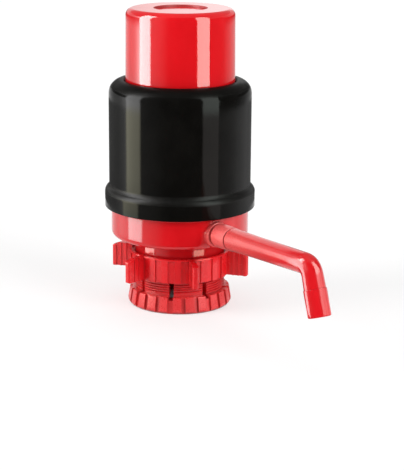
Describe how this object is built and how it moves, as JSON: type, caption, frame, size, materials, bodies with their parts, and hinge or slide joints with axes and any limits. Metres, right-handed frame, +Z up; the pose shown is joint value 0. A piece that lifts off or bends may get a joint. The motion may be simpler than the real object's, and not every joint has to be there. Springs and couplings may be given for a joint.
{
  "type": "water jug hand pump",
  "caption": "Hand pump for a large water jug: tall push cap in a round sleeve, bellows inside, swivel spout, and a winged ring that draws a slotted collet onto the jug's neck.",
  "frame": {"origin": "on the pump's axis at the mouth of the collet, in the plane of the collet's foot", "axes": "+Z up along the pump's axis, +X along the spout's arm"},
  "size_m": [0.2423, 0.1114, 0.2205],
  "materials": {
    "red_plastic": "gloss",
    "black_plastic": "satin gloss",
    "white_plastic": "moulded",
    "bellows_rubber": "matt",
    "valve_rubber": "matt",
    "seal_rubber": "matt",
    "spring_steel": "drawn wire",
    "screw_steel": "plated"
  },
  "bodies": {
    "base": {"base_bowl": "red_plastic", "sleeve": "black_plastic", "deck_plate": "white_plastic", "deck_seal": "seal_rubber", "outlet_valve": "valve_rubber", "lower_clamp_ring": "white_plastic", "lower_screws": "screw_steel", "bellows": "bellows_rubber", "return_spring": "spring_steel", "retaining_ring": "spring_steel", "neck_gasket": "seal_rubber", "tube_seal": "seal_rubber", "spout_socket": "red_plastic", "spout_clip": "white_plastic"},
    "press": {"press_cap": "red_plastic", "top_plate": "white_plastic", "upper_clamp_ring": "white_plastic", "upper_screws": "screw_steel", "inlet_valve": "valve_rubber"},
    "lock_ring": {"lock_ring": "red_plastic"},
    "collet": {"collet": "red_plastic"},
    "spout": {"spout_tube": "red_plastic", "spout_seals": "seal_rubber", "nozzle_tip": "red_plastic"}
  },
  "joints": [
    {"name": "press_slide", "type": "slide", "parent": "base", "child": "press", "axis": [0, 0, 1], "range_m": [-0.042, 0], "stiffness_N_per_m": 300, "springref_m": 0.03, "deforming": ["bellows", "return_spring"]},
    {"name": "spout_swivel", "type": "hinge", "parent": "base", "child": "spout", "pos_m": [0, 0, 0.0605], "axis": [0.9988, 0, 0.0489], "range_deg": [-90, 90]},
    {"name": "ring_turn", "type": "hinge", "parent": "base", "child": "lock_ring", "pos_m": [0, 0, 0.0325], "axis": [0, 0, -1], "range_deg": [0, 790]},
    {"name": "collet_draw", "type": "slide", "parent": "base", "child": "collet", "axis": [0, 0, 1], "range_m": [0, 0.0079]}
  ],
  "couplings": [
    {"joint": "collet_draw", "follows": "ring_turn", "m_per_rad": 0.00057295}
  ]
}
